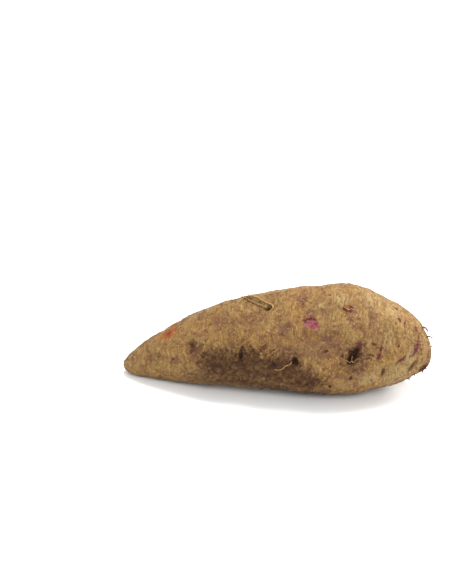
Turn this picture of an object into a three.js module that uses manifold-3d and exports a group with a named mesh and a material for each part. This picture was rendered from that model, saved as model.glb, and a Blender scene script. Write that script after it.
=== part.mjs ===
// A whole sweet potato: one storage root, lying on its side.
// Millimetres. X runs from the tail to the crown, Z is up, and the origin is under the middle of the root.
import * as THREE from "three";
import { mergeVertices } from "three/addons/utils/BufferGeometryUtils.js";
import Module from "manifold-3d";

// Driving dimensions
const LENGTH = 175; // tail tip to crown tip
const GIRTH_RADIUS = 30.2; // at the thickest place
const DEPTH_SHARE = 0.98; // front-to-back width over height
const REST_CUT = 0.7; // how far the underside is pressed flat by the soil it grew on
const RINGS = 60;
const SEGMENTS = 48;
const CURVE_TENSION = 0.5;
const SLENDER_RADIUS = 8; // mm; hollows fade out where the root is thinner than this
const MERGE_DISTANCE = 1e-3; // mm

// The root from tail to crown. along: share of LENGTH. radius: share of GIRTH_RADIUS.
// height: centre line above the floor, and drift: centre line towards the back, in mm.
const STATIONS = [
  { along: 0.0, radius: 0.0, height: 5.8, drift: 5.0 },
  { along: 0.022, radius: 0.165, height: 6.6, drift: 4.6 },
  { along: 0.07, radius: 0.32, height: 10.2, drift: 4.0 },
  { along: 0.13, radius: 0.46, height: 13.8, drift: 3.0 },
  { along: 0.25, radius: 0.68, height: 20.5, drift: 1.2 },
  { along: 0.36, radius: 0.8, height: 25.3, drift: 0.0 },
  { along: 0.5, radius: 0.905, height: 28.4, drift: -0.8 },
  { along: 0.63, radius: 0.99, height: 29.9, drift: -1.0 },
  { along: 0.745, radius: 1.0, height: 30.5, drift: -0.4 },
  { along: 0.825, radius: 0.88, height: 30.4, drift: 0.4 },
  { along: 0.9, radius: 0.7, height: 28.3, drift: 1.0 },
  { along: 0.953, radius: 0.485, height: 27.0, drift: 1.2 },
  { along: 0.986, radius: 0.28, height: 24.1, drift: 1.2 },
  { along: 1.0, radius: 0.0, height: 23.0, drift: 1.2 },
];

// Broad hollows (depth over 0) and swellings (depth under 0). x: from the tail, angle: degrees from
// the front, over the top. reach: how far it spreads along the root and round it. All but angle in mm.
const HOLLOWS = [
  { x: 145, angle: 68, depth: 1.6, reach: [6, 18] }, // waist below the crown
  { x: 132, angle: 8, depth: 2.2, reach: [7, 9] },
  { x: 100, angle: -2, depth: 1.7, reach: [9, 7] },
  { x: 70, angle: 12, depth: 1.5, reach: [8, 7] },
  { x: 84, angle: 72, depth: 1.8, reach: [6, 6] },
  { x: 74, angle: 88, depth: 1.0, reach: [7, 5] },
  { x: 128, angle: 60, depth: 1.0, reach: [6, 6] },
  { x: 103, angle: 72, depth: 0.9, reach: [6, 7] },
  { x: 148, angle: -16, depth: 1.1, reach: [5, 5] },
  { x: 165, angle: -12, depth: 0.8, reach: [4, 7] },
  { x: 42, angle: 31, depth: 1.0, reach: [6, 6] },
  { x: 126, angle: 90, depth: -0.9, reach: [12, 12] },
  { x: 120, angle: 152, depth: 1.9, reach: [8, 9] },
  { x: 66, angle: 140, depth: 1.5, reach: [7, 8] },
  { x: 92, angle: 205, depth: 1.8, reach: [9, 8] },
  { x: 150, angle: 195, depth: 1.6, reach: [6, 8] },
  { x: 40, angle: 200, depth: 1.2, reach: [7, 7] },
  { x: 126, angle: 232, depth: 1.2, reach: [7, 7] },
  { x: 96, angle: 150, depth: -1.0, reach: [14, 12] },
  { x: 148, angle: 130, depth: 1.0, reach: [7, 10] },
];

// What takes the section out of round. count: lobes round the root. swell: share of the radius.
// turn and twist: radians, the twist spread over the whole length.
const LOBES = [
  { count: 2, swell: 0.02, turn: 0.9, twist: 2 },
  { count: 3, swell: 0.016, turn: -1.1, twist: 5 },
  { count: 5, swell: 0.008, turn: 0.4, twist: -6 },
];

// A closed loop through the stations, out along one side and back along the other.
function loopThrough(toPoint) {
  const back = STATIONS.slice(1, -1).reverse();
  const points = [
    ...STATIONS.map((station) => toPoint(station, 1)),
    ...back.map((station) => toPoint(station, -1)),
  ];
  return new THREE.CatmullRomCurve3(points, true, "catmullrom", CURVE_TENSION);
}

// Mirroring the outline across its axis makes both tips round.
const outline = loopThrough(
  ({ along, radius }, side) => new THREE.Vector3(along * LENGTH, side * radius * GIRTH_RADIUS, 0),
);
const centreLine = loopThrough(
  ({ along, height, drift }) => new THREE.Vector3((along - 0.5) * LENGTH, drift, height),
);

// How much the section at x (mm from the tail) swells at this angle, as a share of its radius.
function lobeSwell(x, angle) {
  let share = 0;
  for (const { count, swell, turn, twist } of LOBES) {
    share += swell * Math.cos(count * angle + turn + (twist * x) / LENGTH);
  }
  return share;
}

// How deep the hollows are at this place, in mm.
function hollowDepth(x, angle, radius) {
  let depth = 0;
  for (const hollow of HOLLOWS) {
    const turn = angle - THREE.MathUtils.degToRad(hollow.angle);
    const around = radius * Math.atan2(Math.sin(turn), Math.cos(turn));
    const [reachAlong, reachAround] = hollow.reach;
    depth += hollow.depth * Math.exp(-(((x - hollow.x) / reachAlong) ** 2) - (around / reachAround) ** 2);
  }
  return depth * Math.min(radius / SLENDER_RADIUS, 1);
}

// A plain turned body first, its rings then moved onto the centre line and out of round.
function rootGeometry() {
  const rings = Array.from({ length: RINGS + 1 }, (_, ring) => {
    const t = outline.getUtoTmapping(ring / RINGS / 2);
    const { x, y: radius } = outline.getPoint(t);
    return { x, radius: Math.max(radius, 0), centre: centreLine.getPoint(t) };
  });
  rings[0].radius = 0;
  rings[RINGS].radius = 0;

  const profile = rings.map(({ x, radius }) => new THREE.Vector2(radius, x));
  const geometry = new THREE.LatheGeometry(profile, SEGMENTS);
  const position = geometry.getAttribute("position");
  for (let i = 0; i < position.count; i++) {
    const { x, radius, centre } = rings[i % rings.length];
    const angle = Math.atan2(-position.getX(i), position.getZ(i));
    const swollen = radius * (1 + lobeSwell(x, angle)) - hollowDepth(x, angle, radius);
    position.setXYZ(
      i,
      centre.x,
      centre.y - swollen * DEPTH_SHARE * Math.cos(angle),
      centre.z + swollen * Math.sin(angle),
    );
  }
  geometry.deleteAttribute("normal");
  geometry.deleteAttribute("uv");
  return mergeVertices(geometry, MERGE_DISTANCE);
}

const wasm = await Module();
wasm.setup();

function toSolid(geometry) {
  return new wasm.Manifold(
    new wasm.Mesh({
      numProp: 3,
      vertProperties: new Float32Array(geometry.getAttribute("position").array),
      triVerts: new Uint32Array(geometry.index.array),
    }),
  );
}

function toGeometry(solid) {
  const mesh = solid.getMesh();
  const geometry = new THREE.BufferGeometry();
  geometry.setAttribute("position", new THREE.BufferAttribute(mesh.vertProperties, 3));
  geometry.setIndex(new THREE.BufferAttribute(mesh.triVerts, 1));
  geometry.computeVertexNormals();
  return geometry;
}

// Everything under the floor, to cut the flat that the root rests on.
function underFloor() {
  const floor = new THREE.BoxGeometry(2 * LENGTH, 2 * LENGTH, LENGTH);
  floor.translate(0, 0, -LENGTH / 2);
  floor.deleteAttribute("normal");
  floor.deleteAttribute("uv");
  return mergeVertices(floor);
}

const body = rootGeometry();
body.computeBoundingBox();
const { min, max } = body.boundingBox;
body.translate(-(min.x + max.x) / 2, -(min.y + max.y) / 2, -REST_CUT);
const skin = new THREE.MeshStandardMaterial({ color: 0xa8824f, roughness: 0.75, metalness: 0 });
const root = new THREE.Mesh(toGeometry(toSolid(body).subtract(toSolid(underFloor()))), skin);
root.name = "sweet_potato";

const group = new THREE.Group();
group.add(root);
export default group;
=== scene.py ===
"""One whole raw sweet potato on a pale floor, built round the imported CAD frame. Metres, +Z up."""
import math

import bpy
import numpy as np
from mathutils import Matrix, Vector
from mathutils.bvhtree import BVHTree


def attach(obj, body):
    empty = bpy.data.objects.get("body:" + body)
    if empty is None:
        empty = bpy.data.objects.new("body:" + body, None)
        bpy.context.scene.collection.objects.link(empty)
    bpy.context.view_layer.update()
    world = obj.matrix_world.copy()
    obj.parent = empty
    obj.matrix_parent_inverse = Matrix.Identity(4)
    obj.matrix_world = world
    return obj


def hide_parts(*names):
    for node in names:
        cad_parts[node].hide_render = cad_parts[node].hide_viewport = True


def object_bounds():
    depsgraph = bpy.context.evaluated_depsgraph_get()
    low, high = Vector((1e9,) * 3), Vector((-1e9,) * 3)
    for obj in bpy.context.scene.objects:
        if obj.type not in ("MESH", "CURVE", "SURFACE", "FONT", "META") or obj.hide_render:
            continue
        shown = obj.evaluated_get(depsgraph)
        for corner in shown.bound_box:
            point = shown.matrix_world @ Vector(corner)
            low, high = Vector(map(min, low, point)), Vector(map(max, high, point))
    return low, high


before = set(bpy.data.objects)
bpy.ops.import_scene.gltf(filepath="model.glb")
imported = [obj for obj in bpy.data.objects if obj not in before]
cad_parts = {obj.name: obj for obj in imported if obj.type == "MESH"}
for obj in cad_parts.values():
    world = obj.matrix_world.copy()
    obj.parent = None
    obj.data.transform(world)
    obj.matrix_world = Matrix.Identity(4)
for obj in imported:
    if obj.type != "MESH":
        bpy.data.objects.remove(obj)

MM = 0.001
SEED = 7
NODE = "sweet_potato"

# The skin's grid. Lengths in mm.
ROWS = 380  # steps from tail to crown
COLUMNS = 256  # steps round
TAIL_CAP = 6.0  # from the tail tip to the middle of its rounded end
TAIL_ARC = 8.5  # share of the rows' length that fans out round that middle
CROWN_CAP = 152.0  # from the tail tip to the middle of the crown's rounded end
CROWN_ARC = 37.0  # share of the rows' length that fans out round that middle
SOFTEN = 1.9  # distance over which the CAD facets are smoothed away
STEP_ROUND = 0.7  # usual distance between two columns
SLENDER_RADIUS = 7.0  # where the root is thinner than this, its relief fades
LEAST_RELIEF = 0.25  # share of the relief that is left at the tips
HAIR_PAST_CROWN = 1.5  # how far a hair may stand out past the CAD box at the crown

# Small features strewn over the whole skin
SPECKS = 70
DENTS = 60
SCRATCHES = 36

# Hairs
HAIR_SIDES = 6
STEPS_PER_POINT = 6

# Camera. Lengths in metres.
AZIMUTH = 3  # degrees, from straight in front towards +X
ELEVATION = 28  # degrees
DISTANCE = 1.0
LENS = 110.1  # mm
SENSOR = 36  # mm
MID_HEIGHT = 0.031  # the root's middle above the floor
LEFT_OF_MIDDLE = 0.028  # how far the view's middle lies to the left of the root's
OVER_MIDDLE = 0.02335  # and how far above it

# Floor and light. Lengths in metres.
FLOOR_HALF = 6.0
LAMP_AIM = (0, 0, 0.03)

cad_low, cad_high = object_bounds()
rng = np.random.default_rng(SEED)


# ---------------------------------------------------------------- camera
def make_camera():
    """From the front and above, with the root low and to the right in the picture."""
    azimuth, elevation = math.radians(AZIMUTH), math.radians(ELEVATION)
    level = math.cos(elevation)
    back = Vector((math.sin(azimuth) * level, -math.cos(azimuth) * level, math.sin(elevation)))
    right = Vector((math.cos(azimuth), math.sin(azimuth), 0))
    up = back.cross(right)
    middle = Vector((0, 0, MID_HEIGHT))
    place = middle + back * DISTANCE
    aim = middle - right * LEFT_OF_MIDDLE + up * OVER_MIDDLE
    data = bpy.data.cameras.new("camera")
    data.lens = LENS
    data.sensor_width = SENSOR
    data.clip_start = 0.05
    camera = bpy.data.objects.new("camera", data)
    camera.location = place
    camera.rotation_mode = "QUATERNION"
    camera.rotation_quaternion = (aim - place).to_track_quat("-Z", "Y")
    bpy.context.scene.collection.objects.link(camera)
    bpy.context.scene.camera = camera


make_camera()


# ---------------------------------------------------------------- small maths
def smooth(low, high, value):
    """0 below low, 1 above high, and a soft step between them."""
    t = np.clip((value - low) / (high - low), 0, 1)
    return t * t * (3 - 2 * t)


LATTICE_SIZE = 64
LATTICE = np.random.default_rng(SEED + 1).random((LATTICE_SIZE,) * 3).astype(np.float32)


def lattice_noise(points):
    """Smooth random values from -1 to 1, one bump per unit."""
    cell = np.floor(points).astype(int)
    t = points - cell
    t = t * t * (3 - 2 * t)
    total = np.zeros(len(points))
    for dx in (0, 1):
        for dy in (0, 1):
            for dz in (0, 1):
                share = (
                    (t[:, 0] if dx else 1 - t[:, 0])
                    * (t[:, 1] if dy else 1 - t[:, 1])
                    * (t[:, 2] if dz else 1 - t[:, 2])
                )
                corner = (cell + [dx, dy, dz]) % LATTICE_SIZE
                total += share * LATTICE[corner[:, 0], corner[:, 1], corner[:, 2]]
    return total * 2 - 1


def layered_noise(points, layers, shift=0.0):
    """Noise with finer and weaker layers on top. shift picks another piece of it."""
    total, size, weight = np.zeros(len(points)), 1.0, 1.0
    for layer in range(layers):
        total += weight * lattice_noise(points * size + shift + 17.3 * layer)
        size *= 2.03
        weight *= 0.5
    return total


# ---------------------------------------------------------------- the fine skin over the CAD solid
def cad_tree():
    """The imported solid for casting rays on, and its points."""
    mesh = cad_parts[NODE].data
    points = [v.co.copy() for v in mesh.vertices]
    return BVHTree.FromPolygons(points, [tuple(p.vertices) for p in mesh.polygons]), np.array(points)


def centre_line(points):
    """Middle of the section at each place along the root, as a function of x in metres."""
    sections, half_section, crown_margin = 40, 4.5 * MM, 12 * MM
    places = np.linspace(cad_low[0] + TAIL_CAP * MM, cad_high[0] - crown_margin, sections)
    middles = []
    for place in places:
        near = points[np.abs(points[:, 0] - place) < half_section]
        middles.append((near.min(0) + near.max(0))[1:] / 2)
    middles = np.array(middles)
    for _ in range(3):
        middles[1:-1] = (middles[:-2] + 2 * middles[1:-1] + middles[2:]) / 4
    return lambda x: np.stack([np.interp(x, places, middles[:, i]) for i in (0, 1)], -1)


def blurred(values, sigma, around):
    """values on the grid, blurred along it, or round it where around is true."""
    reach = int(3 * sigma) + 1
    kernel = np.exp(-0.5 * (np.arange(-reach, reach + 1) / sigma) ** 2)
    kernel /= kernel.sum()
    pad = ((0, 0), (reach, reach)) if around else ((reach, reach), (0, 0))
    padded = np.pad(values, pad, mode="wrap" if around else "edge")
    out = np.zeros_like(values)
    for i, weight in enumerate(kernel):
        part = padded[:, i : i + values.shape[1]] if around else padded[i : i + values.shape[0]]
        out += weight * part
    return out


def skin_grid():
    """Places of the skin as ROWS x COLUMNS x 3 without the tips, the two tips, and the centre line.

    Rays go out from the centre line: straight across along the root, and fanned out at its ends.
    """
    tree, points = cad_tree()
    line = centre_line(points)
    tail_x, crown_x = cad_low[0] + TAIL_CAP * MM, cad_low[0] + CROWN_CAP * MM
    tail_arc, crown_arc = TAIL_ARC * MM, CROWN_ARC * MM
    length = tail_arc + (crown_x - tail_x) + crown_arc
    steps = (np.arange(ROWS) + 0.5) / ROWS * length
    turns = 2 * np.pi * np.arange(COLUMNS) / COLUMNS
    reach = np.zeros((ROWS, COLUMNS))
    origins, aims = np.zeros((ROWS, 3)), np.zeros((ROWS, COLUMNS, 3))
    for row, step in enumerate(steps):
        if step < tail_arc:
            x, lean, way = tail_x, step / tail_arc * np.pi / 2, -1
        elif step < length - crown_arc:
            x, lean, way = tail_x + step - tail_arc, np.pi / 2, 0
        else:
            x, lean, way = crown_x, (length - step) / crown_arc * np.pi / 2, 1
        y, z = line(x)
        origins[row] = (x, y, z)
        aims[row, :, 0] = way * np.cos(lean)
        aims[row, :, 1] = -np.sin(lean) * np.cos(turns)
        aims[row, :, 2] = np.sin(lean) * np.sin(turns)
        for column in range(COLUMNS):
            *_, reach[row, column] = tree.ray_cast(Vector(origins[row]), Vector(aims[row, column]))
    step_along = length / ROWS / MM
    reach = blurred(reach, SOFTEN / step_along, False)
    # near the tips the columns run close together, so a blur round the root is faded out there
    between = 2 * np.pi * np.maximum(reach.mean(1), 4 * MM) / MM / COLUMNS
    around = blurred(reach, SOFTEN / STEP_ROUND, True)
    wide = smooth(0.1, 0.5, between)[:, None]
    reach = wide * around + (1 - wide) * reach
    grid = origins[:, None, :] + aims * reach[:, :, None]
    tips = np.array([grid[0].mean(0), grid[-1].mean(0)])
    return grid, tips, line


def grid_faces():
    """Squares between the rows and triangles round the two tips, facing out."""
    index = np.arange(ROWS * COLUMNS).reshape(ROWS, COLUMNS)
    ahead = np.roll(index, -1, 1)
    quads = np.stack([index[:-1], index[1:], ahead[1:], ahead[:-1]], -1).reshape(-1, 4)
    tail, crown = ROWS * COLUMNS, ROWS * COLUMNS + 1
    faces = quads.tolist()
    faces += [[tail, int(index[0, i]), int(ahead[0, i])] for i in range(COLUMNS)]
    faces += [[crown, int(ahead[-1, i]), int(index[-1, i])] for i in range(COLUMNS)]
    return faces


def normals_of(grid):
    """Unit normals of the grid's vertices, then of the two tips."""
    along = np.gradient(grid, axis=0)
    over = (np.roll(grid, -1, 1) - np.roll(grid, 1, 1)) / 2
    out = np.cross(along, over).reshape(-1, 3)
    out = np.concatenate([out, [[-1, 0, 0], [1, 0, 0]]])
    out /= np.linalg.norm(out, axis=1)[:, None]
    return out


grid, tips, line = skin_grid()
base = np.concatenate([grid.reshape(-1, 3), tips])
normal = normals_of(grid)

mm = base / MM
from_tail = mm[:, 0] - cad_low[0] / MM
offset = base[:, 1:] - line(base[:, 0])
angle = np.arctan2(offset[:, 1], -offset[:, 0])  # from the front, over the top
radius = np.hypot(offset[:, 0], offset[:, 1]) / MM

height = np.zeros(len(base))  # how far the skin stands out, in mm
NOISE_PIECES = 97
MASKS = ("pit", "purple", "pink", "rust", "orange", "soil_and_shade", "pale", "mauve")
mask = {name: np.zeros(len(base)) for name in MASKS}


class Patch:
    """Flat coordinates in mm round one place on the skin: u towards the crown, w round over the top.

    x is mm from the tail tip, and degrees go from 0 at the front, over the top, to 180 at the back.
    """

    def __init__(self, x, degrees, turn=0.0, reach=12.0):
        away = np.radians(degrees) - angle
        away = np.arctan2(np.sin(away), np.cos(away))
        self.at = int(np.argmin((from_tail - x) ** 2 + (radius * away) ** 2))
        self.n = normal[self.at]
        along = np.array([1.0, 0, 0]) - self.n[0] * self.n
        along /= np.linalg.norm(along)
        over = np.cross(along, self.n)
        if over @ (base[(self.at + 1) % (ROWS * COLUMNS)] - base[self.at]) < 0:
            over = -over
        c, s = math.cos(math.radians(turn)), math.sin(math.radians(turn))
        self.along, self.over = c * along + s * over, c * over - s * along
        self.centre = mm[self.at]
        away = mm - self.centre
        near = (away**2).sum(1) < reach**2
        self.near = np.nonzero(near & (normal @ self.n > 0))[0]
        away = away[self.near]
        self.u, self.w = away @ self.along, away @ self.over

    def noise(self, grain, layers=2, shift=0.0):
        """Noise with grain bumps per mm, its own at each place."""
        return layered_noise(mm[self.near] * grain, layers, self.at % NOISE_PIECES + shift)

    def ring(self, long, wide, rough=0.2, grain=0.45):
        """Distance from the middle, 1 at the edge of an ellipse with an uneven outline."""
        return np.hypot(self.u / long, self.w / wide) * (1 + rough * self.noise(grain))

    def raise_by(self, rise):
        """Move the skin out by rise in mm."""
        height[self.near] += rise

    def stain(self, kind, share):
        """Colour the skin with a kind from MASKS, where it isn't stronger already."""
        mask[kind][self.near] = np.maximum(mask[kind][self.near], share)


def spot(x, degrees):
    """A patch that is only used for its place and direction."""
    return Patch(x, degrees, reach=0.1)


# ---------------------------------------------------------------- form: broad unevenness, wrinkles, creases
def add_form():
    global height
    height += 0.55 * layered_noise(mm / 17, 2)
    height += 0.3 * layered_noise(mm / 6, 2, 5.0)
    height += 0.1 * layered_noise(mm / 2.2, 2, 31.0)
    # wrinkles that run round the root
    ringed = layered_noise(mm * [0.42, 0.07, 0.07], 2, 11.0)
    strong = smooth(-0.5, 0.6, layered_noise(mm / 22, 1, 3.0))
    height += 0.3 * ringed * (0.3 + 0.7 * strong)
    # creases that run along it, deepest where it narrows to the crown and the tail
    crown = smooth(138, 168, from_tail)
    tail = 1 - smooth(8, 45, from_tail)
    turn = np.stack([from_tail / 26, np.cos(angle) * 3.6, np.sin(angle) * 3.6], -1)
    fold = 1 - smooth(0.0, 0.3, np.abs(layered_noise(turn, 2, 23.0)))
    height -= fold * (0.34 * crown + 0.18 * tail)


add_form()


def hollow(x, degrees, long, wide, depth, turn=0.0):
    """A soft dent; depth under 0 makes a swelling."""
    patch = Patch(x, degrees, turn, 2.6 * max(long, wide))
    patch.raise_by(-depth * np.exp(-(patch.ring(long, wide, 0.1) ** 2)))


def eye(x, degrees, long, wide, depth, turn=0.0, lip=0.25, dark=1.0, rust=0.4, halo=0.5):
    """A sunken bud scar: a steep-sided hole with a torn, raised rim, dark inside from scar tissue and
    painted shade that deepens towards its middle, and stained round it with dirt and painted shade.
    """
    patch = Patch(x, degrees, turn, 4 * max(long, wide))
    r = patch.ring(long, wide, 0.45, 0.5)
    torn = smooth(-0.8, 0.8, patch.noise(0.5, 2, 9.0))
    patch.raise_by(-depth * (1 - smooth(0.1, 1.1, r)) * (0.75 + 0.35 * patch.noise(0.8, 1, 5.0)))
    patch.raise_by(lip * (0.3 + 0.9 * torn) * np.exp(-(((r - 1.3) / 0.35) ** 2)))
    patch.raise_by(-0.25 * depth * np.exp(-((r / 2.4) ** 2)))
    # painted shade: the stain darkens towards the middle of the hole, over the scar's own dark
    patch.stain("pit", dark * (1 - smooth(0.25, 1.15, r)) * (0.75 + 0.35 * torn))
    patch.stain("rust", rust * (0.25 + 0.9 * torn) * np.exp(-(((r - 0.9) / 0.45) ** 2)))
    # a halo of dirt and painted shade round the hole
    patch.stain("soil_and_shade", 0.85 * halo * np.exp(-((r / 1.7) ** 2)))


def mark(kind, x, degrees, long, wide, turn=0.0, strength=1.0, sunk=0.12, soft=0.45):
    """A coloured scar in the skin, slightly sunken."""
    patch = Patch(x, degrees, turn, 2.6 * max(long, wide))
    r = patch.ring(long, wide, 0.35, 0.8)
    patch.stain(kind, strength * (1 - smooth(1 - soft, 1 + soft, r)))
    patch.raise_by(-sunk * (1 - smooth(0.6, 1.1, r)) + 0.6 * sunk * np.exp(-(((r - 1.25) / 0.25) ** 2)))


def clear(kind, x, degrees, long, wide, turn=0.0):
    """Take a stain away again inside a small uneven spot."""
    patch = Patch(x, degrees, turn, 2 * max(long, wide))
    mask[kind][patch.near] *= smooth(0.6, 1.2, patch.ring(long, wide, 0.3, 0.8))


def groove(chain, wide, depth, kind=None, strength=0.8, lip=0.3):
    """A groove, or a ridge where depth is under 0, along a chain of (x, degrees), stained with kind."""
    fine = []
    for (x0, a0), (x1, a1) in zip(chain, chain[1:]):
        steps = max(2, int(abs(x1 - x0) + abs(a1 - a0) / 4))
        for s in range(steps):
            fine.append(spot(x0 + (x1 - x0) * s / steps, a0 + (a1 - a0) * s / steps).centre)
    fine.append(spot(*chain[-1]).centre)
    fine = np.array(fine)
    low, high = fine.min(0) - 4 * wide, fine.max(0) + 4 * wide
    near = np.nonzero(((mm > low) & (mm < high)).all(1))[0]
    best = np.full(len(near), np.inf)  # distance to the chain
    where = np.zeros(len(near))  # share of the chain's length that lies behind the nearest place on it
    for i, (a, b) in enumerate(zip(fine, fine[1:])):
        way = b - a
        if way @ way < 1e-6:
            continue
        t = np.clip((mm[near] - a) @ way / (way @ way), 0, 1)
        away = np.linalg.norm(mm[near] - a - t[:, None] * way, axis=1)
        where = np.where(away < best, (i + t) / (len(fine) - 1), where)
        best = np.minimum(best, away)
    taper = smooth(0, 0.25, where) * (1 - smooth(0.75, 1, where)) * 0.8 + 0.2
    body = np.exp(-((best / wide) ** 2)) * taper
    height[near] -= depth * body
    height[near] += lip * depth * np.exp(-(((best - 2 * wide) / wide) ** 2)) * taper
    if kind:
        uneven = smooth(-1.0, 0.5, layered_noise(mm[near] * 0.6, 2, 41.0))
        mask[kind][near] = np.maximum(mask[kind][near], strength * body * uneven)


# ---------------------------------------------------------------- features, placed by (x, degrees)
def eyes():
    """Sunken bud scars on the side that shows."""
    eye(131.5, 4, 3.5, 6.2, 3.2, turn=-24, lip=0.45, rust=0.3, halo=0.9)
    eye(134, 14, 1.7, 2.8, 1, turn=-32, lip=0.2, dark=0.75, rust=0.3, halo=0.4)
    hollow(135.5, 4, 2.6, 4.4, 0.7, turn=-20)
    mark("purple", 134.5, 17, 1.7, 2.5, turn=-38, strength=1.1, soft=0.3)
    mark("mauve", 136, 5, 3.2, 5, turn=-20, strength=1, sunk=0, soft=0.7)
    eye(99.5, -2, 2.4, 3.8, 2.3, turn=-14, lip=0.35, rust=0.2, halo=1)
    eye(103, -6, 1.1, 1.1, 0.5, lip=0.2, dark=0.6, halo=0.3)
    eye(84.5, 71, 2.6, 1.5, 2.2, turn=14, lip=0.4, rust=0.7, halo=0.8)
    eye(70, 9, 2, 3.6, 1.4, turn=-8, lip=0.3, dark=0.85, halo=1)
    mark("pale", 70, 9, 0.6, 0.8, strength=0.9, sunk=-0.4)
    eye(42, 31, 2.6, 2.2, 0.6, turn=10, lip=0.15, dark=0.3, halo=1)
    eye(148, -17, 1.3, 3.6, 1.2, turn=-18, lip=0.35, dark=0.8, rust=0.7, halo=0.4)
    eye(50, 49, 1.1, 1.3, 0.4, lip=0.12, dark=0.35, halo=0.5)
    eye(88, -3, 1.4, 2.4, 0.8, turn=10, lip=0.15, dark=0.8, rust=0.2, halo=0.9)
    eye(141.5, 5, 1.2, 1.5, 0.5, lip=0.3, dark=0.3, rust=0.9, halo=0.15)


def torn_bud():
    """The torn bud near the top, with its ring of scabs."""
    hollow(128, 60, 3.2, 3, 0.6)
    eye(128, 60.5, 1.7, 1.5, 0.6, turn=20, lip=0.55, dark=0.3, rust=0.9, halo=0.2)
    mark("orange", 127.5, 62, 2.6, 2.4, strength=0.65, sunk=0, soft=0.7)
    mark("rust", 126, 61, 1.1, 1.2, strength=1.1, sunk=0.3)
    mark("rust", 127.5, 58, 1, 0.7, turn=-20, strength=1.1, sunk=0.4)
    mark("mauve", 128.5, 60, 4, 3.2, strength=0.9, sunk=0, soft=0.7)
    mark("rust", 129, 58, 0.9, 0.8, strength=1.2, sunk=0.5)
    mark("rust", 129.5, 63, 0.7, 0.6, strength=1.2, sunk=0.4)
    mark("rust", 130, 62, 0.6, 0.6, strength=1.2, sunk=0.4)
    mark("rust", 128.5, 64, 1.3, 0.8, turn=15, strength=0.7, sunk=0.2)
    mark("pale", 127.5, 60, 0.9, 0.6, strength=1, sunk=-0.3)
    mark("pink", 128, 68, 1.2, 2, strength=0.42, sunk=0.1)
    mark("pink", 131, 56, 2.5, 1.2, turn=-35, strength=0.5, sunk=0.15)


def dents():
    """Broad dents, and swellings where the depth is under 0."""
    hollow(144.5, 62, 6, 9, 1.05)
    hollow(142.5, 42, 3.5, 9, 0.85, turn=-10)
    hollow(107.5, -24, 8, 3, 0.6, turn=10)
    hollow(150, 26, 3, 8, 0.75)
    hollow(160, 45, 3.5, 8, 0.75)
    hollow(62, 30, 9, 6, 0.5)
    hollow(118, 25, 6, 5, 0.5)
    hollow(113, 58, 4, 3, 0.5)
    hollow(93, 50, 6, 7, 0.4)
    hollow(152.5, 5, 3, 6, -0.55)
    hollow(137.5, 22, 3, 7, -0.65)
    hollow(146.5, 30, 2.4, 7, -0.5)
    hollow(155.5, 38, 2.6, 7, -0.5)
    hollow(157, -30, 6, 3, -0.5, turn=25)


def fresh_scrape():
    """The bare pink place, with dark dots along its upper edge."""
    mark("pink", 108, 44, 4.2, 3, turn=-28, strength=1.1, sunk=0.25, soft=0.15)
    mark("purple", 105, 47, 1.8, 1.4, turn=-10, strength=0.8)
    groove([(103.5, 46), (104, 48), (106, 49), (108.5, 49), (111, 48)], 0.75, 0.4, "rust", 2.4)
    clear("pink", 106, 46, 0.7, 1, turn=20)
    clear("purple", 106, 46, 0.7, 1, turn=20)
    mark("pale", 106, 46, 0.6, 0.9, turn=20, strength=1, sunk=-0.2)
    mark("rust", 109.5, 47, 0.6, 0.5, strength=0.9, sunk=0.1)


def middle_marks():
    """Specks, scars and stains between the tail and the crown."""
    mark("purple", 116.5, 12, 1.5, 0.9, turn=12, strength=1.2, soft=0.3)
    mark("pit", 117, 12, 1, 0.5, turn=12, strength=0.6, sunk=0.2)
    mark("purple", 117.5, 77, 1.2, 0.8, strength=0.9)
    mark("purple", 123, 76, 1, 0.8, strength=0.6)
    mark("mauve", 102, 76, 3.2, 4, strength=1, sunk=0.25, soft=0.6)
    mark("rust", 102.5, 69, 1, 1.2, strength=0.6)
    groove([(102, 68), (100.5, 64), (100, 59)], 0.4, 0.2, "rust", 0.7)
    mark("rust", 120.5, 39, 1.5, 0.8, strength=0.6)
    for x, degrees, long, wide in (
        (113, 56, 4.5, 2.4),
        (117, 27, 4.5, 5),
        (138, 68, 3.5, 2.6),
        (132.5, 46, 4, 2.4),
        (143, 51, 2.6, 6),
        (141.5, 33, 3.2, 3.2),
        (92, 38, 5, 4),
        (74, 52, 5, 4),
        (104, -14, 5, 6),
        (96, 8, 6.5, 4.5),
        (136, -14, 5, 5),
        (58, 62, 5, 4),
        (44, 14, 4, 4),
        (111, 15, 8, 6),
        (122, 17, 6, 6),
    ):
        mark("mauve", x, degrees, long, wide, strength=0.85, soft=0.8)
    # a pale raised line that also stands in for the highlight along this crease: partly painted highlight
    mark("pale", 113, 63, 3.6, 0.9, turn=-8, strength=0.9, sunk=-0.12)
    mark("pale", 119, 50, 1.3, 1.8, strength=0.7, sunk=-0.1)
    mark("pink", 82.5, 17, 2.3, 1.4, turn=20, strength=0.45, soft=0.4)
    mark("rust", 82.5, 18, 2.4, 1.5, turn=25, strength=0.78)
    groove(
        [(86.5, 12), (87, 14), (89, 15), (90, 12), (89, 9), (87, 8), (86.5, 11)],
        0.35,
        0.2,
        "rust",
        1.8,
    )
    mark("pale", 88, 11, 1.2, 1.2, strength=0.6, sunk=-0.2)
    mark("rust", 124.5, -3, 1.1, 0.8, strength=0.8)
    mark("rust", 124, -9, 1.4, 0.7, strength=0.7)
    mark("soil_and_shade", 130.5, -20, 0.8, 1.8, turn=-15, strength=0.8)
    groove([(133.5, -23), (135, -20), (137, -17)], 0.4, 0.2, "soil_and_shade", 1.2)
    mark("pit", 119, -32, 0.9, 0.9, strength=1)


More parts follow.
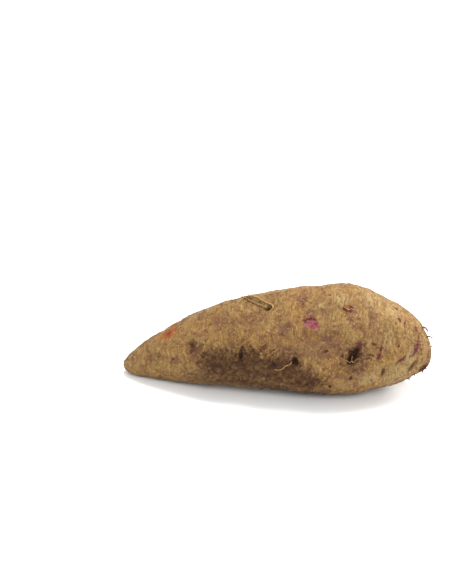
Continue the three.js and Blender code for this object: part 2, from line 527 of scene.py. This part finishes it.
def crown_marks():
    """Purple streaks, scabs and creases near the crown. The creases are darkened with dirt and painted
    shade, and one ridge is paled with a painted highlight.
    """
    mark("purple", 154, 86, 2.4, 0.8, turn=-35, strength=1)
    mark("purple", 156, 64, 1.5, 1.1, turn=-25, strength=1.1)
    mark("rust", 156.5, 64, 0.8, 0.5, turn=-25, strength=0.9)
    mark("rust", 160.5, 70, 2, 0.45, turn=10, strength=0.9)
    mark("rust", 159.5, 62, 0.6, 1.3, turn=-20, strength=1)
    mark("purple", 165.5, 67, 1.1, 1.8, turn=-30, strength=0.8, soft=0.7)
    mark("rust", 166, 60, 0.9, 0.7, strength=0.8)
    mark("purple", 167.5, 50, 0.9, 3, turn=-15, strength=0.7, soft=0.7)
    mark("purple", 165, 16, 5, 1.7, turn=47, strength=0.85, soft=0.4)
    clear("purple", 164, 12, 1.7, 0.7, turn=47)
    mark("pink", 166, 19, 2.6, 1, turn=47, strength=0.7, sunk=0, soft=0.6)
    mark("pale", 164, 12, 1.6, 0.7, turn=47, strength=0.9, sunk=-0.15)
    mark("purple", 158, 2, 3.3, 1, turn=30, strength=1)
    groove([(151, -13), (153.5, -8), (156, -2), (159.5, 4)], 0.9, 0.4, "soil_and_shade", 0.7)
    mark("rust", 156, 23, 0.9, 0.9, strength=1.2)
    mark("rust", 142.5, 22, 1.3, 0.8, turn=-35, strength=1.2)
    groove([(142.5, 22), (144.5, 19), (146, 18)], 0.3, 0.15, "rust", 1)
    mark("purple", 146.5, 17, 0.9, 1.8, turn=-15, strength=1.2)
    mark("rust", 146.5, 17, 0.5, 1.1, turn=-15, strength=1)
    mark("purple", 145.5, 9, 0.9, 2, turn=-20, strength=1)
    mark("pink", 144, 12, 1.4, 2.2, strength=0.5, soft=0.7)
    mark("soil_and_shade", 164.5, -19, 4.2, 1.4, turn=42, strength=0.7, sunk=0.7)
    groove([(163, -26), (164.5, -19), (166, -13)], 1, 0.6, "soil_and_shade", 0.35)
    # a raised ridge, paled along its crest as a painted highlight
    groove([(162, -14), (163.5, -7), (165.5, -2)], 0.9, -0.4, "pale", 0.8)
    groove([(166.5, -49), (169, -46), (171, -34), (173, -12), (173, 10)], 0.9, 0.5, "rust", 0.35)
    groove([(167.5, -3), (169, 8), (169.5, 28), (169, 43)], 0.7, 0.4, "rust", 0.9)
    # creases under and below the crown, darkened with dirt and painted shade
    groove([(142.5, -35), (149.5, -28), (156, -18)], 1.3, 0.75, "soil_and_shade", 0.3)
    groove([(151, -42), (157.5, -37), (163.5, -34)], 1.2, 0.75, "soil_and_shade", 0.3)
    groove([(132, -38), (140, -35), (147, -32)], 0.8, 0.55, "soil_and_shade", 0.4)
    groove([(96, -36), (103, -31), (110, -28), (116, -29)], 0.8, 0.4, "soil_and_shade", 0.25)
    groove([(94, -42), (102, -37), (111, -34)], 0.8, 0.35, "soil_and_shade", 0.25)
    groove([(122, -2), (125.5, -4), (127, 4), (130.5, 21)], 0.8, 0.3)
    groove([(136.5, -8), (137, 4), (136.5, 16)], 0.9, -0.35)
    # creases over the crown's top, darkened with painted shade and dirt
    groove([(147, 60), (148.5, 40), (148, 20), (150, 4)], 1.4, 0.8, "soil_and_shade", 0.5)
    groove([(140, 66), (139.5, 58), (140.5, 48), (139.5, 38), (138.5, 28)], 1.1, 0.8, "soil_and_shade", 0.5)
    groove([(153, 52), (154, 34), (153.5, 18)], 1, 0.6, "soil_and_shade", 0.3)


def tail_marks():
    """The orange place near the tail, and faint stains."""
    mark("orange", 27.5, 82, 6.2, 5, turn=10, strength=0.9, sunk=0.1, soft=0.6)
    mark("rust", 27.5, 80, 1, 1.9, turn=-35, strength=0.9)
    mark("rust", 25.5, 84, 2.4, 0.6, turn=-20, strength=0.7)
    mark("rust", 58, 48, 0.9, 0.7, strength=0.7)
    mark("rust", 65.5, 47, 0.8, 0.6, strength=0.5)
    mark("purple", 70, 59, 2.6, 1.8, strength=0.4, soft=0.8)
    mark("purple", 91.5, 33, 2.4, 2, strength=0.4, soft=0.8)


def pale_skin_and_painted_highlights():
    """Broad paler places, mostly painted highlights on the top and the crown's lower right, where the light
    falls strongest.
    """
    for x, degrees, long, wide, turn in (
        (141, 84, 10, 8, 0),
        (153, 82, 7, 8, 0),
        (151, 33, 3, 8, 0),
        (153, -24, 10, 5, 20),
        (163, -4, 4, 6, 0),
        (124, 72, 6, 4, 0),
        (140, -24, 6, 4, 0),
        (157, -40, 10, 6, 20),
    ):
        mark("pale", x, degrees, long, wide, turn, strength=0.85, sunk=0, soft=0.8)


def dirt_and_painted_shade():
    """Dark brown on the lower half, partly damp dirt and partly painted shade, in the crown's creases and
    under the side root.
    """
    # the lower belly's dark places are part dirt, part painted shade where that side lies in shade
    for x, degrees, long, wide, strength in (
        (58, -6, 13, 9, 1.1),
        (74, -6, 14, 9, 1.15),
        (91, -11, 14, 9, 1.1),
        (105, -26, 12, 8, 1),
        (119, -42, 10, 5, 0.4),
        (134, 0, 9, 9, 0.45),
        (52, -34, 15, 8, 0.7),
        (70, -34, 16, 9, 0.85),
        (90, -42, 16, 10, 0.85),
        (108, -50, 14, 8, 0.8),
        # painted contact shadow: a dark band along the underside next to the floor
        (112, -76, 30, 7, 1),
    ):
        mark("soil_and_shade", x, degrees, long, wide, strength=strength, sunk=0, soft=0.9)
    mark("soil_and_shade", 170.5, -52, 2.8, 1.8, strength=1, sunk=-0.3)
    mark("pit", 170.5, -52, 2.2, 1.2, turn=20, strength=0.8, sunk=-0.3)
    mark("soil_and_shade", 165.5, -57, 1.4, 1, strength=1, sunk=-0.4)
    mark("soil_and_shade", 162.5, -67, 1.2, 1, strength=1, sunk=-0.4)
    groove([(83, 74), (80, 80), (75.5, 90), (71, 99)], 0.9, -0.4, "soil_and_shade", 0.9)


def back_and_underside():
    """The same kinds of features on the sides that don't face the camera, in places of their own."""
    eye(120, 152, 2.6, 4.4, 2, turn=18, lip=0.4, halo=0.8)
    eye(66, 140, 2.2, 2.2, 1.6, turn=-10, lip=0.35, halo=0.7)
    eye(92, 205, 2.6, 3.2, 1.8, turn=24, lip=0.4, halo=0.8)
    eye(150, 195, 1.8, 2.6, 1.2, turn=-25, lip=0.3, halo=0.5)
    eye(40, 200, 2, 1.8, 0.9, lip=0.25, dark=0.7, halo=0.7)
    eye(126, 232, 1.8, 2.4, 1.2, turn=12, lip=0.3, halo=0.6)
    eye(60, 248, 1.5, 1.8, 0.8, lip=0.2, dark=0.7, halo=0.6)
    eye(104, 126, 1.5, 1.4, 0.4, lip=0.2, dark=0.3, rust=0.8, halo=0.3)
    eye(84, 168, 1.4, 1.7, 0.6, lip=0.2, dark=0.6, rust=0.5, halo=0.4)
    mark("pink", 98, 176, 3.4, 2.4, turn=30, strength=1, sunk=0.22, soft=0.25)
    groove([(94.6, 173), (96.4, 178), (99, 180.5), (101.4, 178)], 0.45, 0.25, "rust", 1)
    mark("purple", 140, 158, 4.2, 1, turn=-35, strength=0.85)
    mark("purple", 156, 150, 3.8, 1.1, turn=50, strength=0.85)
    mark("purple", 160, 205, 4.6, 1, turn=-45, strength=0.85)
    mark("purple", 131, 205, 1.5, 1, turn=10, strength=0.9)
    mark("orange", 34, 150, 4.6, 3, turn=-15, strength=0.45, sunk=0.1, soft=0.5)
    mark("soil_and_shade", 110, 250, 24, 12, strength=0.6, sunk=0, soft=0.9)
    mark("soil_and_shade", 60, 225, 18, 9, strength=0.6, sunk=0, soft=0.9)
    mark("soil_and_shade", 92, 205, 12, 8, strength=0.6, sunk=0, soft=0.9)
    mark("pale", 128, 180, 8, 10, strength=0.6, sunk=0, soft=0.9)
    for x, degrees in (
        (112, 175),
        (80, 150),
        (138, 182),
        (54, 172),
        (96, 128),
        (146, 128),
        (118, 218),
        (72, 200),
    ):
        mark("mauve", x, degrees, 5, 4, strength=0.75, soft=0.85)
    groove([(163, 215), (168, 200), (170, 175), (168.5, 150)], 0.8, 0.4, "rust", 0.4)
    groove([(168, 232), (171.5, 205), (172.5, 170)], 0.8, 0.35, "rust", 0.3)
    groove([(142, 216), (150, 209), (158, 200)], 1.2, 0.35, "soil_and_shade", 0.2)
    groove([(96, 218), (104, 212), (113, 210)], 0.8, 0.4, "soil_and_shade", 0.3)


def scatter():
    """Small scars, specks and shallow dents all over, where nothing bigger sits."""
    for _ in range(SPECKS):
        x, degrees = rng.uniform(12, 168), rng.uniform(0, 360)
        size = rng.uniform(0.35, 0.9)
        kind = rng.choice(["rust", "purple", "pit"])
        long, turn, strength = size * rng.uniform(1, 2), rng.uniform(-60, 60), rng.uniform(0.3, 0.7)
        mark(kind, x, degrees, long, size, turn, strength, sunk=0.1)
    for _ in range(DENTS):
        x, degrees = rng.uniform(15, 168), rng.uniform(0, 360)
        long, wide = rng.uniform(1.5, 5), rng.uniform(1.5, 5)
        hollow(x, degrees, long, wide, rng.uniform(-0.2, 0.35), rng.uniform(-40, 40))
    for _ in range(SCRATCHES):
        x, degrees = rng.uniform(15, 166), rng.uniform(0, 360)
        bend, turn = rng.uniform(-5, 5), rng.uniform(5, 16)
        chain = [(x, degrees), (x + bend, degrees + turn / 2), (x + rng.uniform(-3, 3), degrees + turn)]
        groove(chain, rng.uniform(0.35, 0.7), rng.uniform(0.1, 0.25), "rust", rng.uniform(0.1, 0.5))


eyes()
torn_bud()
dents()
fresh_scrape()
middle_marks()
crown_marks()
tail_marks()
pale_skin_and_painted_highlights()
dirt_and_painted_shade()
back_and_underside()
scatter()

# ---------------------------------------------------------------- the skin's mesh, kept inside the CAD box
height *= np.clip(radius / SLENDER_RADIUS, LEAST_RELIEF, 1)
skin_points = base + normal * (height * MM)[:, None]
skin_points = np.clip(skin_points, np.array(cad_low), np.array(cad_high))


def make_mesh(name, points, faces):
    """A new object with smooth faces from points in metres."""
    mesh = bpy.data.meshes.new(name)
    mesh.from_pydata([tuple(p) for p in points], [], faces)
    mesh.validate()
    mesh.update()
    for polygon in mesh.polygons:
        polygon.use_smooth = True
    made = bpy.data.objects.new(name, mesh)
    bpy.context.scene.collection.objects.link(made)
    return made


skin = make_mesh("skin", skin_points, grid_faces())
for name in MASKS:
    layer = skin.data.attributes.new(name, "FLOAT", "POINT")
    layer.data.foreach_set("value", mask[name].astype(np.float32))

skin_tree = BVHTree.FromPolygons([Vector(p) for p in skin_points], grid_faces())

# ---------------------------------------------------------------- root hairs and stubs
tube_points, tube_faces, tube_pale = [], [], []


def smooth_path(points):
    """More points on the smooth curve that runs through all the points."""
    ends = np.vstack([2 * points[0] - points[1], points, 2 * points[-1] - points[-2]])
    path = []
    for i in range(1, len(ends) - 2):
        a, b, c, d = ends[i - 1 : i + 3]
        for s in range(STEPS_PER_POINT):
            t = s / STEPS_PER_POINT
            square = (2 * a - 5 * b + 4 * c - d) * t * t
            cube = (3 * b - a - 3 * c + d) * t**3
            path.append(0.5 * (2 * b + (c - a) * t + square + cube))
    path.append(points[-1])
    return np.array(path)


def tube(points, thick, thin, pale):
    """A round hair through points in mm, closed at both ends. thick and thin: radius at its ends."""
    path = smooth_path(np.array(points, float))
    first = len(tube_points)
    ahead = np.gradient(path, axis=0)
    ahead /= np.linalg.norm(ahead, axis=1)[:, None]
    side = np.cross(ahead[0], [0.31, 0.52, 0.8])  # any direction that no hair sets out in
    for i, place in enumerate(path):
        side = side - (side @ ahead[i]) * ahead[i]
        side /= np.linalg.norm(side)
        other = np.cross(ahead[i], side)
        share = i / (len(path) - 1)
        r = thick + (thin - thick) * share
        for k in range(HAIR_SIDES):
            turn = 2 * math.pi * k / HAIR_SIDES
            tube_points.append((place + r * (math.cos(turn) * side + math.sin(turn) * other)) * MM)
            tube_pale.append(pale)
    for i in range(len(path) - 1):
        ring = first + i * HAIR_SIDES
        for k in range(HAIR_SIDES):
            a, b = ring + k, ring + (k + 1) % HAIR_SIDES
            tube_faces.append([a, b, b + HAIR_SIDES, a + HAIR_SIDES])
    last = first + (len(path) - 1) * HAIR_SIDES
    tube_faces.append([first + k for k in reversed(range(HAIR_SIDES))])
    tube_faces.append([last + k for k in range(HAIR_SIDES)])


def on_skin(patch, u, w, lift):
    """The place in mm that is lift over the finished skin, at u and w from the patch's middle."""
    guess = (patch.centre + u * patch.along + w * patch.over) * MM
    place, out, _, _ = skin_tree.find_nearest(Vector(guess))
    return np.array(place + out * lift * MM) / MM


def hair(x, degrees, points, thick, thin, pale):
    """A hair from one place on the skin through (u, w, lift) points in mm."""
    patch = spot(x, degrees)
    tube([on_skin(patch, *p) for p in points], thick, thin, pale)


def strand(places, thick, thin, pale, spans=False):
    """A hair through (x, degrees, mm of lift). spans: it bridges the pits that it passes over."""
    patches = [(spot(x, degrees), lift) for x, degrees, lift in places]
    if spans:
        points = [patch.centre + lift * patch.n for patch, lift in patches]
    else:
        points = [on_skin(patch, 0, 0, lift) for patch, lift in patches]
    tube(points, thick, thin, pale)


def front_hair():
    """The wavy hair that hangs out of the eye in the middle."""
    wave = [(99, -1, -0.2), (97, -3, 0.6), (95, -5, 0.7), (93, -10, 0.5), (91, -11, 0.5), (88.5, -10, 0.4)]
    strand(wave, 0.27, 0.18, 1)


def side_root():
    """The side root that leaves the upper pit in two strands and ends in fine loops over the top."""
    low = [(83, 73, 0.1), (80.5, 76, 0.5), (77.5, 79, 0.6), (73.5, 88, 0.6), (71, 95, 0.5), (68.5, 104, 0.3)]
    strand(low, 0.5, 0.34, 0.45)
    high = [(85.5, 68, -0.1), (87, 69, 0.5), (86, 75, 0.7), (83, 80, 0.7)]
    high += [(80, 85, 0.8), (77.5, 91, 0.8), (74, 96, 0.7), (71, 98, 0.5)]
    strand(high, 0.55, 0.34, 0.75)
    strand([(76.5, 91, 0.9), (73, 97, 1.2), (70, 95, 1.1), (67, 87, 0.9), (65, 82, 0.5)], 0.22, 0.14, 1)
    strand([(75, 94, 0.9), (71, 103, 1.4), (67.5, 108, 1.3), (64, 104, 0.9), (61, 97, 0.4)], 0.2, 0.12, 0.9)
    strand([(78.5, 88, 0.9), (75.5, 99, 1.2), (72, 107, 0.9), (69.5, 112, 0.3)], 0.2, 0.12, 0.7)


def fine_hairs():
    """Fine hairs in and round the eyes."""
    bridge = [(127.5, 2, 0.1), (129, 0, -0.1), (130, -1, -0.2), (131, 0, -0.3)]
    bridge += [(132, -1, -0.2), (133, 1, 0), (135, 4, 0.2)]
    strand(bridge, 0.15, 0.1, 1, spans=True)
    strand([(131.5, -1, -0.3), (131, 2, -0.6), (131.5, 6, -1.2)], 0.17, 0.1, 1, spans=True)
    strand([(126, 62, 0.2), (127.5, 61, 0.6), (129, 59, 0.2)], 0.22, 0.14, 1)
    curl = [(129.5, 61, 0.3), (131, 59, 0.5), (133, 57, 0.5), (134.5, 52, 0.4), (135.5, 48, 0.2)]
    strand(curl, 0.17, 0.1, 1)
    strand([(140.5, 7, 0.2), (142, 6, 0.5), (142, 3, 0.3)], 0.15, 0.1, 0.9)
    strand([(142.5, 7, 0.2), (142, 5, 0.5), (143, 4, 0.3)], 0.14, 0.1, 0.9)
    strand([(90, 12, 0.2), (88.5, 7, 0.4), (87, 4, 0.3), (86.5, 0, 0.2)], 0.12, 0.08, 0.6)
    strand([(102, 74, 0.2), (103, 73, 0.6), (104, 69, 0.3)], 0.2, 0.1, 0.6)


def stubs():
    """Short stiff ends of hairs along the tail's top and on the crown."""
    for x, degrees, lean, length in (
        (28, 96, -0.6, 1.8),
        (35, 98, 0.4, 2.2),
        (37.5, 100, 1, 1.8),
        (31.5, 93, 0.5, 1.4),
    ):
        middle, end = (x + lean, degrees + 2, 0.5 * length), (x + 2 * lean, degrees + 6, length)
        strand([(x, degrees, -0.2), middle, end], 0.2, 0.1, 0.5)
    strand([(169.5, 99, -0.4), (169.5, 98, 1), (170.5, 93, 2), (171, 84, 2.1)], 0.65, 0.4, 0.1)
    strand([(170, 103, -0.4), (170, 106, 1.2), (169.5, 108, 2.4)], 0.22, 0.12, 0.3)
    strand([(172, 78, -0.4), (172, 79, 1), (172.5, 80, 2), (173, 86, 2.4)], 0.45, 0.32, 0.1)
    strand([(174.5, -18, -0.4), (174.5, -20, 0.6), (174.5, -14, 1.2)], 0.4, 0.25, 0.3)
    for x, degrees, length, thick in (
        (168, -47, 0.9, 0.6),
        (169.5, -52, 1.2, 0.7),
        (171, -55, 0.8, 0.5),
        (171.5, -50, 0.8, 0.4),
        (165.5, -56, 1.3, 0.35),
        (162.5, -67, 1.4, 0.35),
    ):
        middle, end = (x + 0.2, degrees - 1, 0.5 * length), (x + 0.5, degrees - 4, length)
        strand([(x, degrees, -0.5), middle, end], thick, 0.5 * thick, 0)


def back_hairs():
    """Hairs from the eyes on the back."""
    hair(120, 152, [(0, 0, 0.2), (1.2, -2, 0.8), (3.4, -4.6, 0.6), (6.8, -5.6, 0.4)], 0.26, 0.12, 0.8)
    hair(92, 205, [(0, 0, 0.2), (-2.2, 1.2, 0.8), (-5, 0.8, 0.6), (-8, 2.6, 0.4)], 0.26, 0.12, 0.8)
    hair(66, 140, [(0, 0, 0.2), (1.6, 2, 0.7), (1.2, 4.6, 0.5)], 0.22, 0.12, 0.8)
    hair(150, 195, [(0, 0, 0.2), (0.8, 1.8, 0.7), (2.6, 3, 0.4)], 0.2, 0.1, 0.8)


front_hair()
side_root()
fine_hairs()
stubs()
back_hairs()
hair_low, hair_high = np.array(cad_low), np.array(cad_high) + [HAIR_PAST_CROWN * MM, 0, 0]
rootlets = make_mesh("rootlets", np.clip(np.array(tube_points), hair_low, hair_high), tube_faces)
layer = rootlets.data.attributes.new("pale", "FLOAT", "POINT")
layer.data.foreach_set("value", np.array(tube_pale, np.float32))


# ---------------------------------------------------------------- materials
class Nodes:
    """Short calls that add shader nodes and join them."""

    def __init__(self, name):
        self.material = bpy.data.materials.new(name)
        self.material.use_nodes = True
        self.tree = self.material.node_tree
        self.shader = self.tree.nodes["Principled BSDF"]
        self.coordinates = self.add("ShaderNodeTexCoord").outputs["Object"]

    def add(self, kind, values=(), **settings):
        made = self.tree.nodes.new(kind)
        for key, value in settings.items():
            setattr(made, key, value)
        for key, value in dict(values).items():
            self.put(made.inputs[key], value)
        return made

    def put(self, socket, value):
        if isinstance(value, bpy.types.NodeSocket):
            self.tree.links.new(value, socket)
        else:
            socket.default_value = value

    def attribute(self, name):
        return self.add("ShaderNodeAttribute", attribute_name=name).outputs["Fac"]

    def maths(self, how, a, b=0.0, clamp=False):
        return self.add("ShaderNodeMath", {0: a, 1: b}, operation=how, use_clamp=clamp).outputs[0]

    def step(self, value, low, high, to_low=0.0, to_high=1.0):
        values = {"Value": value, "From Min": low, "From Max": high, "To Min": to_low, "To Max": to_high}
        return self.add("ShaderNodeMapRange", values, interpolation_type="SMOOTHSTEP").outputs[0]

    def noise(self, per_mm, detail=3.0, rough=0.5, warp=0.0, shift=0.0):
        """Noise with per_mm bumps per mm along x, y and z. shift picks another piece of it."""
        per_mm = per_mm if isinstance(per_mm, tuple) else (per_mm,) * 3
        values = {0: self.coordinates, 1: [p / MM for p in per_mm], 2: [shift] * 3}
        scaled = self.add("ShaderNodeVectorMath", values, operation="MULTIPLY_ADD").outputs[0]
        values = {"Vector": scaled, "Scale": 1.0, "Detail": detail, "Roughness": rough, "Distortion": warp}
        return self.add("ShaderNodeTexNoise", values).outputs["Fac"]

    def mix(self, share, a, b, how="MIX"):
        made = self.add("ShaderNodeMix", data_type="RGBA", blend_type=how)
        self.put(made.inputs["Factor"], share)
        colours = [s for s in made.inputs if s.type == "RGBA"]
        for socket, value in zip(colours, (a, b)):
            self.put(socket, value)
        return next(s for s in made.outputs if s.type == "RGBA")


def colour(red, green, blue):
    """Linear colour from the 0 to 255 values that a screen shows."""
    parts = [c / 255 for c in (red, green, blue)]
    return tuple(c / 12.92 if c <= 0.04045 else ((c + 0.055) / 1.055) ** 2.4 for c in parts) + (1.0,)


TAN = colour(135, 108, 61)
GOLD = colour(135, 101, 52)
ROSE = colour(128, 90, 66)
BROWN = colour(94, 62, 32)
MAUVE = colour(96, 62, 51)
PURPLE = colour(80, 27, 38)
PINK = colour(138, 70, 82)
RUST = colour(72, 28, 19)
ORANGE = colour(138, 68, 28)
PIT_SCAR_AND_SHADE = colour(38, 15, 6)
SOIL_AND_SHADE = colour(53, 27, 13)
PALE_SKIN_AND_HIGHLIGHT = colour(160, 141, 97)
FLECK = colour(170, 140, 86)


def skin_material():
    """Tan, gold and brown skin from noises at several scales, with the masks' stains over it."""
    m = Nodes("sweet_potato_skin")
    clouds = m.noise(0.05, 3, 0.55, 0.3)
    patches = m.noise(0.13, 5, 0.6, 0.4, 20)
    blotches = m.noise(0.34, 4, 0.6, 0.5, 40)
    speckle = m.noise(0.75, 4, 0.6, 0.4, 60)
    streaks = m.noise((0.9, 0.26, 0.26), 4, 0.6, 0.7, 80)
    rosy = m.noise(0.3, 4, 0.65, 0.5, 140)
    wrinkles = m.noise((0.8, 0.12, 0.12), 3, 0.55, 0.8, 100)
    grain = m.noise(2.0, 3, 0.6, 0, 120)

    def thin(value, middle, half):
        """1 along the thin lines where a noise passes through its middle value."""
        away = m.maths("ABSOLUTE", m.maths("SUBTRACT", value, middle))
        return m.step(away, 0.0, half, 1.0, 0.0)

    cluster = m.step(patches, 0.4, 0.6, 0.25, 1.0)
    crack = m.maths("MULTIPLY", thin(wrinkles, 0.5, 0.03), m.step(blotches, 0.46, 0.62))
    tone = m.mix(m.step(clouds, 0.4, 0.6), TAN, GOLD)
    tone = m.mix(m.step(rosy, 0.47, 0.62, 0.0, 0.6), tone, ROSE)
    tone = m.mix(m.step(patches, 0.46, 0.7, 0.0, 0.6), tone, BROWN)
    tone = m.mix(m.step(streaks, 0.46, 0.3, 0.0, 0.65), tone, FLECK)
    dull = m.maths("ADD", m.step(blotches, 0.46, 0.66, 0.0, 0.7), m.step(speckle, 0.5, 0.66, 0.0, 0.65))
    dull = m.maths("MULTIPLY", dull, cluster, True)
    tone = m.mix(dull, tone, MAUVE)
    folds = m.maths("MULTIPLY", m.attribute("mauve"), m.step(blotches, 0.3, 0.58, 0.15, 0.88))
    tone = m.mix(folds, tone, MAUVE)
    tone = m.mix(m.step(streaks, 0.53, 0.66, 0.0, 0.7), tone, BROWN)
    tone = m.mix(m.maths("MULTIPLY", crack, 0.45), tone, BROWN)
    tone = m.mix(m.step(speckle, 0.46, 0.3, 0.0, 0.6), tone, FLECK)
    tone = m.mix(m.step(grain, 0.42, 0.28, 0.0, 0.5), tone, FLECK)
    # paler skin, and painted highlights on the top, the crown's lower right and a few ridges
    pale = m.maths("MULTIPLY", m.step(m.attribute("pale"), 0.1, 1.0, 0.0, 0.7), m.step(streaks, 0.68, 0.36))
    tone = m.mix(pale, tone, PALE_SKIN_AND_HIGHLIGHT)
    tone = m.mix(m.step(grain, 0.54, 0.68, 0.0, 0.55), tone, BROWN)
    tone = m.mix(m.step(speckle, 0.66, 0.72, 0.0, 0.6), tone, RUST)

    def ragged(name, low, high, most=1.0, wander=0.5):
        """A mask with its edge broken up by the speckle."""
        shift = m.maths("MULTIPLY", m.maths("SUBTRACT", speckle, 0.5), wander)
        have = m.attribute(name)
        worn = m.maths("ADD", have, m.maths("MULTIPLY", shift, have))
        return m.step(worn, low, high, 0.0, most)

    uneven = m.step(blotches, 0.34, 0.6, 0.74, 1.0)
    # dark brown of damp dirt, with painted shade on the lower belly, along the underside, in the crown's
    # creases and round the eyes
    tone = m.mix(m.maths("MULTIPLY", ragged("soil_and_shade", 0.1, 0.95, 0.94, 1.4), uneven), tone, SOIL_AND_SHADE)
    tone = m.mix(ragged("orange", 0.2, 0.9, 0.8, 1.6), tone, ORANGE)
    fresh = m.mix(m.step(speckle, 0.46, 0.64, 0.0, 0.7), PINK, PURPLE)
    tone = m.mix(ragged("pink", 0.3, 0.7, 0.9, 0.5), tone, fresh)
    tone = m.mix(ragged("purple", 0.25, 0.8, 0.85, 1.2), tone, PURPLE)
    tone = m.mix(ragged("rust", 0.25, 0.9, 0.85, 1.2), tone, RUST)
    # near black in the eyes and dark specks: dark scar tissue, with painted shade deepening inside the holes
    tone = m.mix(ragged("pit", 0.1, 0.8, 0.93, 1.4), tone, PIT_SCAR_AND_SHADE)
    m.put(m.shader.inputs["Base Color"], tone)

    rough = m.maths("ADD", m.step(blotches, 0.35, 0.65, 0.5, 0.66), m.step(grain, 0.4, 0.7, -0.05, 0.09))
    m.put(m.shader.inputs["Roughness"], rough)
    m.shader.inputs["Specular IOR Level"].default_value = 0.13

    rise = m.maths("MULTIPLY", streaks, 0.5)
    for part, share in ((blotches, 0.6), (speckle, 0.6), (grain, 0.25), (crack, -0.12), (wrinkles, 0.5)):
        rise = m.maths("ADD", rise, m.maths("MULTIPLY", part, share))
    bump = m.add("ShaderNodeBump", {"Height": rise, "Strength": 1.0, "Distance": 1.1 * MM})
    m.put(m.shader.inputs["Normal"], bump.outputs["Normal"])
    return m.material


def rootlet_material():
    """Dry hairs, from brown to straw by their own share of pale, with darker stretches."""
    m = Nodes("root_hair")
    along = m.noise(1.4, 3, 0.6)
    tone = m.mix(m.attribute("pale"), BROWN, FLECK)
    tone = m.mix(m.step(along, 0.42, 0.66, 0.0, 0.7), tone, RUST)
    m.put(m.shader.inputs["Base Color"], tone)
    m.put(m.shader.inputs["Roughness"], m.step(along, 0.3, 0.7, 0.5, 0.8))
    bump = m.add("ShaderNodeBump", {"Height": along, "Strength": 0.6, "Distance": 0.1 * MM})
    m.put(m.shader.inputs["Normal"], bump.outputs["Normal"])
    return m.material


skin.data.materials.append(skin_material())
rootlets.data.materials.append(rootlet_material())
for piece in (skin, rootlets):
    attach(piece, "root")
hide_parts(NODE)


# ---------------------------------------------------------------- floor and light
def make_floor():
    """A flat sheet of near white paper, far wider than the view."""
    half = FLOOR_HALF
    corners = [(-half, -half, 0), (half, -half, 0), (half, half, 0), (-half, half, 0)]
    floor = make_mesh("floor", corners, [[0, 1, 2, 3]])
    m = Nodes("floor_paper")
    tone = m.mix(m.step(m.noise(0.02, 2), 0.3, 0.7), colour(243, 243, 243), colour(246, 246, 246))
    m.put(m.shader.inputs["Base Color"], tone)
    m.shader.inputs["Roughness"].default_value = 0.85
    m.shader.inputs["Specular IOR Level"].default_value = 0.2
    floor.data.materials.append(m.material)


def lamp(name, place, size, power, tint=(1.0, 1.0, 1.0)):
    """A round soft light, size across and power in watts, that points at the root."""
    data = bpy.data.lights.new(name, "AREA")
    data.shape = "DISK"
    data.size = size
    data.energy = power
    data.color = tint
    light = bpy.data.objects.new(name, data)
    light.location = place
    light.rotation_mode = "QUATERNION"
    light.rotation_quaternion = (Vector(LAMP_AIM) - Vector(place)).to_track_quat("-Z", "Y")
    bpy.context.scene.collection.objects.link(light)


def make_world():
    """Even light from all round, a little blue."""
    world = bpy.data.worlds.new("studio")
    world.use_nodes = True
    background = world.node_tree.nodes["Background"]
    background.inputs["Color"].default_value = (0.96, 0.985, 1.0, 1)
    background.inputs["Strength"].default_value = 1.0
    bpy.context.scene.world = world
    bpy.context.scene.view_settings.view_transform = "Standard"


make_floor()
lamp("key", (0.15, 0.28, 1.15), 0.7, 16.5, (1.0, 0.97, 0.92))
lamp("rim", (1.0, 0.6, 0.7), 0.5, 11.0, (1.0, 0.98, 0.96))
lamp("fill", (0.4, -1.0, 0.95), 0.6, 7.5)
make_world()
